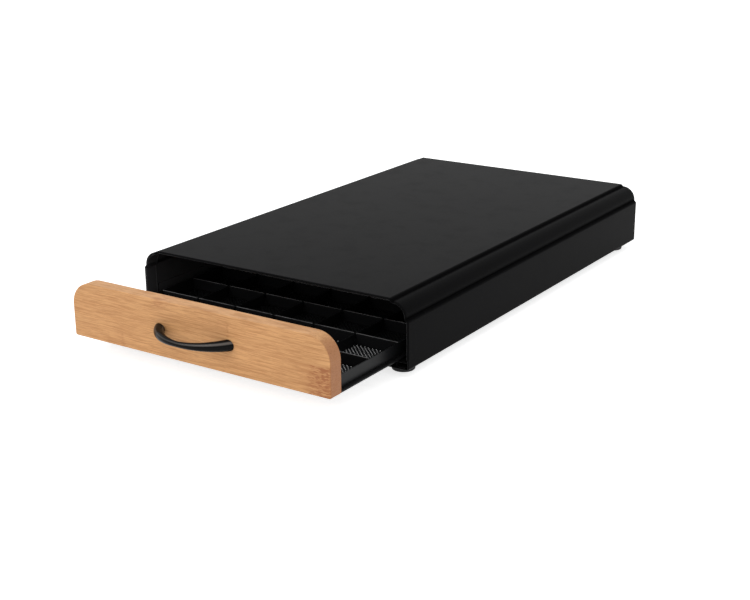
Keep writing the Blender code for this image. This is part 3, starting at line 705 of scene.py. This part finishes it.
def copies(name, tree_maker, shape, slot, base=None, sheet=0.0, **inputs):
    """A plain mesh object from one of the trees, with its inputs set by their identifiers.

    With a thickness for its sheet, a flat shape is thickened downwards.
    """
    tree = tree_maker()
    obj = new_object(name, base or bpy.data.meshes.new(name))
    source = new_object(name + "_shape", shape)
    maker = obj.modifiers.new("copies", "NODES")
    maker.node_group = tree
    values = {"Shape": source, "Finish": material(slot), **inputs}
    for item in tree.interface.items_tree:
        if item.in_out == "INPUT" and item.name in values:
            maker[item.identifier] = values[item.name]
    if sheet:
        wall = obj.modifiers.new("sheet", "SOLIDIFY")
        wall.thickness = sheet
        wall.offset = -1
    settle(obj)
    bpy.data.objects.remove(source)
    return obj


def scattered(name, shape, slot, places):
    """Copies of a shape at the places given."""
    base = bpy.data.meshes.new(name)
    base.from_pydata([tuple(place) for place in places], [], [])
    return copies(name, scatter_tree, shape, slot, base)


# ---- housing


def cover_corners(sizes):
    """The cover's section as (x, z, radius) corners, from the left flange's edge to the right one's."""
    top, bottom, half = COVER_HIGH.z, COVER_LOW.z, COVER_HIGH.x
    inner = half - sizes.shoulder_width
    face = half - sizes.shoulder_step
    low = top - sizes.shoulder_width
    right = [
        (inner - sizes.shoulder_step, top, sizes.bend_radius),
        (inner, top - sizes.shoulder_step, sizes.cove_radius),
        (face, top - sizes.shoulder_step, sizes.shoulder_radius),
        (face, low, sizes.cove_radius),
        (half, low - sizes.shoulder_step, sizes.bend_radius),
        (half, bottom, sizes.edge_radius),
        (half - sizes.flange, bottom, 0.0),
    ]
    return [(-x, z, radius) for x, z, radius in reversed(right)] + right


def cover_profiles(sizes, length):
    """Sections through the cover's sheet from front to back, as (distance, depth): hemmed and plain."""
    sheet, hem, curve = sizes.sheet, sizes.hem, 7
    rim = sizes.edge_easing
    fold = [math.pi * k / (2 * curve) for k in range(1, 2 * curve + 1)]
    hemmed = [(sheet * 1.4, 0.0), (sheet, 0.0)]
    hemmed += [(sheet * (1 - math.sin(a)), sheet * (1 - math.cos(a))) for a in fold]
    hemmed += [(sheet * 1.4, 2 * sheet), (hem - 2 * rim, 2 * sheet), (hem - rim, 2 * sheet)]
    hemmed += [(hem - 0.3 * rim, 2 * sheet - 0.3 * rim), (hem, 2 * sheet - rim), (hem, sheet)]
    plain = [(sheet * 1.4, 0.0)]
    plain += [(sheet / 2 * (1 - math.sin(a)), sheet / 2 * (1 - math.cos(a))) for a in [0.0, *fold]]
    spread = len(hemmed) - len(plain) - 1
    plain += [(sheet + (hem - sheet) * (k + 0.6) / (spread + 1), sheet) for k in range(spread)]
    plain += [(hem, sheet)]
    back = [(length - 2 * rim, sheet), (length - rim, sheet), (length, sheet - rim)]
    back += [(length, rim), (length - rim, 0.0), (length - 2 * rim, 0.0)]
    return hemmed + back, plain + back


def build_cover(sizes):
    length = COVER_HIGH.y - COVER_LOW.y
    hemmed, plain = cover_profiles(sizes, length)
    hem_end = FLOOR_HIGH.z
    path = rounded_path(cover_corners(sizes))
    stations = []
    for i, (point, normal) in enumerate(path):
        on_side = abs(point.x) > COVER_HIGH.x - 1e-6
        if on_side and i and (path[i - 1][0].y - hem_end) * (point.y - hem_end) < 0:
            cut = (Vector((point.x, hem_end)), normal)
            rising = point.y > hem_end
            stations += [(*cut, plain), (*cut, hemmed)] if rising else [(*cut, hemmed), (*cut, plain)]
        stations.append((point, normal, hemmed if point.y > hem_end else plain))

    def build(bm):
        tube(bm, [
            [
                (point.x - normal.x * depth, COVER_LOW.y + along, point.y - normal.y * depth)
                for along, depth in profile
            ]
            for point, normal, profile in stations
        ])
        turn_outwards(bm, 0.5 * MICRON)

    place_piece(shaped("cover_sheet", build, 40), "housing_paint", "housing", "housing_cover")


class CAPSULE_OT_cover(bpy.types.Operator):
    """Bends the housing's cover, with its stepped shoulders, flanges and front hem"""

    bl_idname = "capsule_drawer.cover"
    bl_label = "Housing cover"

    def execute(self, context):
        build_cover(context.scene.housing_sizes)
        return {"FINISHED"}


class CAPSULE_OT_plates(bpy.types.Operator):
    """Adds the base plate and the back panel"""

    bl_idname = "capsule_drawer.plates"
    bl_label = "Base and back"

    def execute(self, context):
        base = ("base_sheet", "housing_paint", "base_plate")
        back = ("back_sheet", "housing_paint", "back_panel")
        sheet_pieces("housing", base, back)
        return {"FINISHED"}


class CAPSULE_OT_slides(bpy.types.Operator):
    """Adds the runners, the keepers over the sliding edges and the stop blocks"""

    bl_idname = "capsule_drawer.slides"
    bl_label = "Runners, keepers and stops"

    def execute(self, context):
        runners = ("runner_rails", "housing_paint", "runner_")
        keepers = ("keeper_strips", "housing_paint", "keeper_")
        stops = ("stop_blocks", "nylon", "drawer_stop_")
        sheet_pieces("housing", runners, keepers, stops)
        return {"FINISHED"}


def bumper_shape():
    low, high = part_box("rear_bumper_left")
    radius, length = (high.x - low.x) / 2, high.y - low.y
    round_end, support = radius * 0.3, 0.0004
    profile = [(0.0, length), (radius - round_end - support, length)]
    profile += quarter(radius - round_end, length - round_end, round_end, 90, 0)
    profile += [(radius, support), (radius, 0.0), (0.0, 0.0)]
    return turned("bumper", profile, 40, (0, length / 2, 0), "Y")


def foot_shape():
    """A rubber foot: a drafted side, a rounded rim, a groove round the tread and the screw's recess."""
    low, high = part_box("foot_front_left")
    radius, height = (high.x - low.x) / 2, high.z - low.z
    tread, recess, hole, depth = radius - 0.0006, 0.0040, 0.0018, 0.0030
    upper_rim, lower_rim, chamfer, groove = 0.0003, 0.0014, 0.0003, 0.0005
    profile = [(hole, height), (radius - 0.0005, height)]
    profile += quarter(radius - upper_rim, height - upper_rim, upper_rim, 90, 0, 3)
    profile += quarter(tread - lower_rim, lower_rim, lower_rim, -3, -90, 6)
    profile += [(0.0068, 0.0), (0.0066, groove), (0.0058, groove), (0.0056, 0.0)]
    profile += [(recess + chamfer, 0.0), (recess, chamfer), (recess, depth), (hole, depth), (hole, height)]
    return turned("foot", profile, 48)


class CAPSULE_OT_rubber(bpy.types.Operator):
    """Adds the four rubber feet and the two bumpers on the back panel"""

    bl_idname = "capsule_drawer.rubber"
    bl_label = "Feet and bumpers"

    def execute(self, context):
        feet, bumpers = nodes_named("foot_front_", "foot_rear_"), nodes_named("rear_bumper_")
        places = [Vector((middle(n).x, middle(n).y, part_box(n)[0].z)) for n in feet]
        pads = scattered("rubber_feet", foot_shape(), "rubber", places)
        place_piece(pads, "rubber", "housing", *feet)
        stops = scattered("rubber_bumpers", bumper_shape(), "rubber", [middle(n) for n in bumpers])
        place_piece(stops, "rubber", "housing", *bumpers)
        return {"FINISHED"}


# ---- screws


def screw_shape(node, axis):
    """A pan-head screw with a cross recess, its head towards -Z, or towards +Y, centred in its box."""
    low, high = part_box(node)
    length = (high.z - low.z) if axis == "Z" else (high.y - low.y)
    head = (high.x - low.x) / 2
    shank = 0.0015 if head > 0.003 else 0.0013
    rise, reach, arm, deep = 0.0018, head * 0.56, head * 0.15, 0.0011
    chamfer, edge = 0.0001, rise * 0.52
    bottom = -length / 2
    profile = [(0.0, length / 2), (shank * 0.5, length / 2), (shank, length / 2 - shank)]
    profile += [(shank, bottom + rise), (head - chamfer, bottom + rise), (head, bottom + rise - chamfer)]
    profile += [(head, bottom + edge)]
    profile += [(head * (1 - 0.34 * t * t), bottom + edge * (1 - t)) for t in (0.35, 0.65, 0.85, 1.0)]
    profile += [(0.0, bottom)]
    body = new_object("screw_body", turned("screw_body", profile, 32))

    def build(bm):
        for size in ((reach, arm), (arm, reach)):
            made = bmesh.ops.create_cube(bm, size=2.0)["verts"]
            bmesh.ops.scale(bm, vec=(*size, deep), verts=made)
            bmesh.ops.translate(bm, vec=(0, 0, bottom), verts=made)
            for vert in made:
                if vert.co.z > bottom:
                    vert.co.x *= 0.55
                    vert.co.y *= 0.55

    bit = new_object("driver_recess", mesh_from("driver_recess", build))
    recess = body.modifiers.new("driver recess", "BOOLEAN")
    recess.operation = "DIFFERENCE"
    recess.use_self = True
    recess.object = bit
    settle(body)
    mesh = body.data
    bpy.data.objects.remove(bit)
    bpy.data.objects.remove(body)
    mesh.transform(Matrix.Rotation(math.radians(20), 4, "Z"))
    if axis == "Y":
        mesh.transform(Matrix.Rotation(math.pi / 2, 4, "X"))
    return smooth(mesh)


def build_screws(name, body, **axes):
    """One piece with every screw of a body; each group of like screws has its names' start and its axis."""
    made, every_node = [], []
    for start, axis in axes.items():
        nodes = nodes_named(start)
        every_node += nodes
        made.append(scattered(name, screw_shape(nodes[0], axis), "screw", [middle(n) for n in nodes]))

    def build(bm):
        for obj in made:
            bm.from_mesh(obj.data)

    mesh = smooth(mesh_from(name, build))
    for obj in made:
        bpy.data.objects.remove(obj)
    place_piece(new_object(name, mesh), "screw", body, *every_node)


class CAPSULE_OT_housing_screws(bpy.types.Operator):
    """Adds the screws of the feet and of the base plate"""

    bl_idname = "capsule_drawer.housing_screws"
    bl_label = "Housing screws"

    def execute(self, context):
        build_screws("housing_screws", "housing", foot_screw_="Z", base_screw_="Z")
        return {"FINISHED"}


class CAPSULE_OT_drawer_screws(bpy.types.Operator):
    """Adds the screws of the handle and of the front panel"""

    bl_idname = "capsule_drawer.drawer_screws"
    bl_label = "Drawer screws"

    def execute(self, context):
        build_screws("drawer_screws", "drawer", handle_screw_="Y", panel_screw_="Y")
        return {"FINISHED"}


# ---- tray


def floor_tile(width, length, hole):
    """A flat tile of four squares, two of them, on a diagonal, with a round hole."""

    def build(bm):
        for i in (0, 1):
            for j in (0, 1):
                x0, y0 = (i - 1) * width / 2, (j - 1) * length / 2
                x1, y1 = x0 + width / 2, y0 + length / 2
                corners = [bm.verts.new((x, y, 0)) for x, y in ((x1, y1), (x0, y1), (x0, y0), (x1, y0))]
                if i != j:
                    bm.faces.new(corners)
                    continue
                centre = Vector(((x0 + x1) / 2, (y0 + y1) / 2, 0))
                rim = []
                for a in (math.radians(22.5 + 45 * k) for k in range(8)):
                    rim.append(bm.verts.new(centre + Vector((math.cos(a), math.sin(a), 0)) * hole / 2))
                for k, corner in enumerate(corners):
                    near, far = rim[2 * k], rim[2 * k + 1]
                    following = corners[(k + 1) % 4]
                    bm.faces.new((corner, far, near))
                    bm.faces.new((corner, following, rim[(2 * k + 2) % 8], far))
        turn_outwards(bm, MICRON)
        if sum(face.normal.z for face in bm.faces) < 0:
            bmesh.ops.reverse_faces(bm, faces=bm.faces)

    return mesh_from("floor_tile", build)


def build_floor(sizes):
    """The perforated sheet in four quarters, and its plain margins and round folds at the sliding edges."""
    fold = (FLOOR_HIGH.z - FLOOR_LOW.z) / 2
    half = middle("tray_side_right").x
    length = FLOOR_HIGH.y - FLOOR_LOW.y
    pitch = sizes.hole_pitch * math.sqrt(2)
    columns, rows = round(half / pitch), round(length / 2 / pitch)
    wide, long = half / columns, length / 2 / rows
    middle_y = (FLOOR_LOW.y + FLOOR_HIGH.y) / 2
    quarters = (("front_left", -1, -1), ("front_right", 1, -1), ("rear_left", -1, 1), ("rear_right", 1, 1))
    for name, side, end in quarters:
        floor = copies(
            "perforated_floor_" + name, field_tree, floor_tile(wide, long, sizes.hole_size), "tray_paint",
            sheet=sizes.floor_sheet, Columns=columns, Rows=rows,
            Width=wide * (columns - 1), Length=long * (rows - 1),
            Centre=(side * half / 2, middle_y + end * length / 4, FLOOR_HIGH.z),
        )
        place_piece(floor, "tray_paint", "drawer", "tray_floor")

    turns = [math.radians(15 * k) for k in range(24)]
    rounded_end = ((0.55, 0.0), (0.9, 0.0002), (1.0, 0.0006))
    stations = [*rounded_end, *((share, length - along) for share, along in reversed(rounded_end))]
    outer = FLOOR_HIGH.x - fold

    def fold_ring(side, share, along):
        reach = share * fold
        return [
            (side * outer + reach * math.cos(turn), FLOOR_LOW.y + along,
             FLOOR_LOW.z + fold + reach * math.sin(turn))
            for turn in turns
        ]

    def build(bm):
        for side in (-1, 1):
            tube(bm, [fold_ring(side, share, along) for share, along in stations])
            margin = bmesh.ops.create_cube(bm, size=1.0)["verts"]
            bmesh.ops.scale(bm, verts=margin, vec=(outer - half, length, sizes.floor_sheet))
            place = (side * (half + outer) / 2, middle_y, FLOOR_HIGH.z - sizes.floor_sheet / 2)
            bmesh.ops.translate(bm, verts=margin, vec=place)
        turn_outwards(bm)

    place_piece(shaped("floor_folds", build), "tray_paint", "drawer", "tray_floor")


class CAPSULE_OT_floor(bpy.types.Operator):
    """Punches the tray's floor and folds its sliding edges"""

    bl_idname = "capsule_drawer.floor"
    bl_label = "Perforated floor"

    def execute(self, context):
        build_floor(context.scene.drawer_sizes)
        return {"FINISHED"}


class CAPSULE_OT_walls(bpy.types.Operator):
    """Adds the tray's four walls, with the ears on the back one"""

    bl_idname = "capsule_drawer.walls"
    bl_label = "Tray walls"

    def execute(self, context):
        sheet_pieces("drawer", ("tray_walls", "tray_paint", "tray_side_", "tray_front", "tray_back"))
        return {"FINISHED"}


def divider_row(name, word):
    """A row of like dividers: the first one's shape, eased and repeated."""
    nodes = sorted(nodes_named(word), key=lambda n: int(n.rsplit("_", 1)[1]))
    first = middle(nodes[0])
    step = (middle(nodes[-1]) - first) / (len(nodes) - 1)
    shape = eased_copy(name + "_strip", nodes[:1])
    mesh = shape.data
    mesh.transform(Matrix.Translation(-first))
    bpy.data.objects.remove(shape)
    start, step = tuple(first), tuple(step)
    row = copies(name, row_tree, mesh, "divider_paint", Count=len(nodes), Start=start, Step=step)
    place_piece(row, "tray_paint", "drawer", *nodes, finish="divider_paint")


class CAPSULE_OT_dividers(bpy.types.Operator):
    """Adds the crosswise and lengthwise dividers that make the cells"""

    bl_idname = "capsule_drawer.dividers"
    bl_label = "Dividers"

    def execute(self, context):
        divider_row("cross_dividers", "cross_divider_")
        divider_row("long_dividers", "long_divider_")
        return {"FINISHED"}


# ---- panel and handle


def build_panel(sizes):
    """The bamboo board, with large upper corners and rounded edges."""
    half, low, high = PANEL_HIGH.x, PANEL_LOW.z, PANEL_HIGH.z
    upper, lower = sizes.panel_radius, 0.0018
    right = quarter(half - upper, high - upper, upper, 90, 0, 28)
    right += quarter(half - lower, low + lower, lower, 0, -90, 5)
    outline = right + [(-x, z) for x, z in reversed(right)]

    def build(bm):
        tube(bm, [[(x, y, z) for x, z in outline] for y in (PANEL_LOW.y, PANEL_HIGH.y)])
        turn_outwards(bm)

    panel = round_edges(shaped("bamboo_panel", build), sizes.panel_easing, 5, 60)
    place_piece(panel, "bamboo", "drawer", "front_panel")


class CAPSULE_OT_panel(bpy.types.Operator):
    """Adds the bamboo front panel"""

    bl_idname = "capsule_drawer.panel"
    bl_label = "Bamboo panel"

    def execute(self, context):
        build_panel(context.scene.drawer_sizes)
        return {"FINISHED"}


def build_handle(sizes):
    """The bow: its middle line is one arc, and it thins from its flat ends to its middle."""
    half = sizes.handle_ends / 2
    face = HANDLE_HIGH.y
    rise = face - HANDLE_LOW.y - sizes.handle_thin / 2
    radius = (half * half + rise * rise) / (2 * rise)
    sweep = math.asin(half / radius) + 0.6 * sizes.handle_thick / radius
    height = (HANDLE_LOW.z + HANDLE_HIGH.z) / 2
    stations, segments, end_easing = 96, 36, 0.00025

    def build(bm):
        rings = []
        for i in range(stations + 1):
            angle = sweep * (2 * i / stations - 1)
            across = Vector((math.sin(angle), -math.cos(angle), 0))
            centre = Vector((0, face + radius - rise, height)) + across * radius
            share = min(1.0, abs(centre.x) / half)
            thick = sizes.handle_thin + (sizes.handle_thick - sizes.handle_thin) * share**1.5
            ring = []
            for k in range(segments):
                spin = 2 * math.pi * k / segments
                out = across * math.cos(spin) + Vector((0, 0, 1)) * math.sin(spin)
                ring.append(centre + out * thick / 2)
            rings.append(ring)
        tube(bm, rings)
        cut = bmesh.ops.bisect_plane(
            bm, geom=bm.verts[:] + bm.edges[:] + bm.faces[:],
            plane_co=(0, face, 0), plane_no=(0, 1, 0), clear_outer=True,
        )["geom_cut"]
        bmesh.ops.holes_fill(bm, edges=[part for part in cut if isinstance(part, bmesh.types.BMEdge)])
        turn_outwards(bm)

    handle = round_edges(shaped("bow_handle", build), end_easing, 3, 60)
    place_piece(handle, "handle", "drawer", "handle")


class CAPSULE_OT_handle(bpy.types.Operator):
    """Adds the bow handle"""

    bl_idname = "capsule_drawer.handle"
    bl_label = "Bow handle"

    def execute(self, context):
        build_handle(context.scene.drawer_sizes)
        return {"FINISHED"}


# ---- stage


BLACK, WHITE = (0.0, 0.0, 0.0, 1.0), (1.0, 1.0, 1.0, 1.0)
SENSOR_WIDTH = 36.0
FLOOR_HALF = 6.0


def build_floor_and_sky(stage):
    def build(bm):
        bmesh.ops.create_grid(bm, x_segments=8, y_segments=8, size=FLOOR_HALF)

    floor = new_object("stage_floor", mesh_from("stage_floor", build))
    paper = Shader("white_paper", Specular_IOR_Level=0.0, Roughness=0.9)
    place, _ = paper.places()
    tone = paper.mix(paper.noise(place, 3.0, 2.0), scaled(stage.floor, 0.995), scaled(stage.floor, 1.005))
    seen = paper.node("ShaderNodeLightPath", output="Is Camera Ray")
    mirrored = paper.node("ShaderNodeLightPath", output="Is Glossy Ray")
    lift = (seen + mirrored).sum("MINIMUM", 1.0) * stage.floor_lift
    paper.finish(Base_Color=tone, Emission_Color=paper.mix(lift, BLACK, WHITE), Emission_Strength=1.0)
    floor.data.materials.append(paper.material)

    sky = bpy.data.worlds.new("soft studio")
    bpy.context.scene.world = sky
    sky.use_nodes = True
    nodes, links = sky.node_tree.nodes, sky.node_tree.links
    even, white = nodes["Background"], nodes.new("ShaderNodeBackground")
    for background, strength in ((even, stage.sky), (white, 1.0)):
        background.inputs["Strength"].default_value = strength
        background.inputs["Color"].default_value = WHITE
    rays = nodes.new("ShaderNodeLightPath")
    joined = rays.outputs["Is Camera Ray"]
    for kind in ("Is Glossy Ray", "Is Transmission Ray"):
        either = nodes.new("ShaderNodeMath")
        either.operation = "MAXIMUM"
        links.new(joined, either.inputs[0])
        links.new(rays.outputs[kind], either.inputs[1])
        joined = either.outputs[0]
    choice = nodes.new("ShaderNodeMixShader")
    for socket, source in enumerate((joined, even.outputs[0], white.outputs[0])):
        links.new(source, choice.inputs[socket])
    links.new(choice.outputs[0], nodes["World Output"].inputs["Surface"])


def add_softbox(name, place, aim, width, height, power):
    lamp = bpy.data.lights.new(name, "AREA")
    lamp.shape = "RECTANGLE"
    lamp.size, lamp.size_y = width, height
    lamp.energy = power
    obj = new_object(name, lamp)
    obj.location = place
    obj.rotation_euler = (Vector(place) - Vector(aim)).to_track_quat("Z", "Y").to_euler()


def add_camera(stage):
    lens = bpy.data.cameras.new("camera")
    lens.sensor_width = SENSOR_WIDTH
    lens.lens = stage.lens
    lens.shift_y = stage.shift
    lens.clip_start, lens.clip_end = 0.05, 50.0
    camera = new_object("camera", lens)
    flat = math.cos(stage.elevation)
    back = Vector(
        (math.sin(stage.azimuth) * flat, -math.cos(stage.azimuth) * flat, math.sin(stage.elevation))
    )
    right = Vector((0, 0, 1)).cross(back).normalized()
    up = back.cross(right)
    right, up = (
        right * math.cos(stage.roll) + up * math.sin(stage.roll),
        up * math.cos(stage.roll) - right * math.sin(stage.roll),
    )
    turn = Matrix((right, up, back)).transposed().to_4x4()
    camera.matrix_world = Matrix.Translation(Vector(stage.aim) + back * stage.distance) @ turn
    bpy.context.scene.camera = camera


class CAPSULE_OT_stage(bpy.types.Operator):
    """Lays the white floor and sets up the soft light and the camera"""

    bl_idname = "capsule_drawer.stage"
    bl_label = "Floor, light and camera"

    def execute(self, context):
        stage = context.scene.drawer_stage
        build_floor_and_sky(stage)
        add_softbox("key_softbox", (-0.60, -1.75, 0.75), (0, -0.15, 0.03), 1.3, 0.9, stage.key)
        add_softbox("strip_softbox", (-0.60, -0.61, 1.17), (-0.60, -0.25, 0.04), 1.6, 0.15, stage.strip)
        add_camera(stage)
        context.scene.view_settings.view_transform = "Standard"
        return {"FINISHED"}


# ---- add-on


OPERATORS = (
    CAPSULE_OT_cover,
    CAPSULE_OT_plates,
    CAPSULE_OT_slides,
    CAPSULE_OT_rubber,
    CAPSULE_OT_housing_screws,
    CAPSULE_OT_floor,
    CAPSULE_OT_walls,
    CAPSULE_OT_dividers,
    CAPSULE_OT_panel,
    CAPSULE_OT_handle,
    CAPSULE_OT_drawer_screws,
    CAPSULE_OT_stage,
)

SETTINGS = {
    "housing_sizes": HousingSizes,
    "drawer_sizes": DrawerSizes,
    "drawer_finishes": Finishes,
    "drawer_stage": StageSettings,
}


class CAPSULE_PT_panel(bpy.types.Panel):
    """Lists the drawer's sizes and finishes, and the steps that build it"""

    bl_idname = "CAPSULE_PT_panel"
    bl_label = "Capsule Drawer"
    bl_space_type = "VIEW_3D"
    bl_region_type = "UI"
    bl_category = "Capsule Drawer"

    def draw(self, context):
        for setting in SETTINGS:
            box = self.layout.box()
            group = getattr(context.scene, setting)
            for name in group.__annotations__:
                box.prop(group, name)
        for operator in OPERATORS:
            self.layout.operator(operator.bl_idname)


def register():
    for cls in (*SETTINGS.values(), *OPERATORS, CAPSULE_PT_panel):
        bpy.utils.register_class(cls)
    for setting, group in SETTINGS.items():
        setattr(bpy.types.Scene, setting, bpy.props.PointerProperty(type=group))


def unregister():
    for setting in SETTINGS:
        delattr(bpy.types.Scene, setting)
    for cls in (CAPSULE_PT_panel, *reversed(OPERATORS), *reversed(SETTINGS.values())):
        bpy.utils.unregister_class(cls)


def main():
    register()
    for operator in OPERATORS:
        step = operator.bl_idname.split(".")[1]
        getattr(bpy.ops.capsule_drawer, step)()


if __name__ == "__main__":
    main()
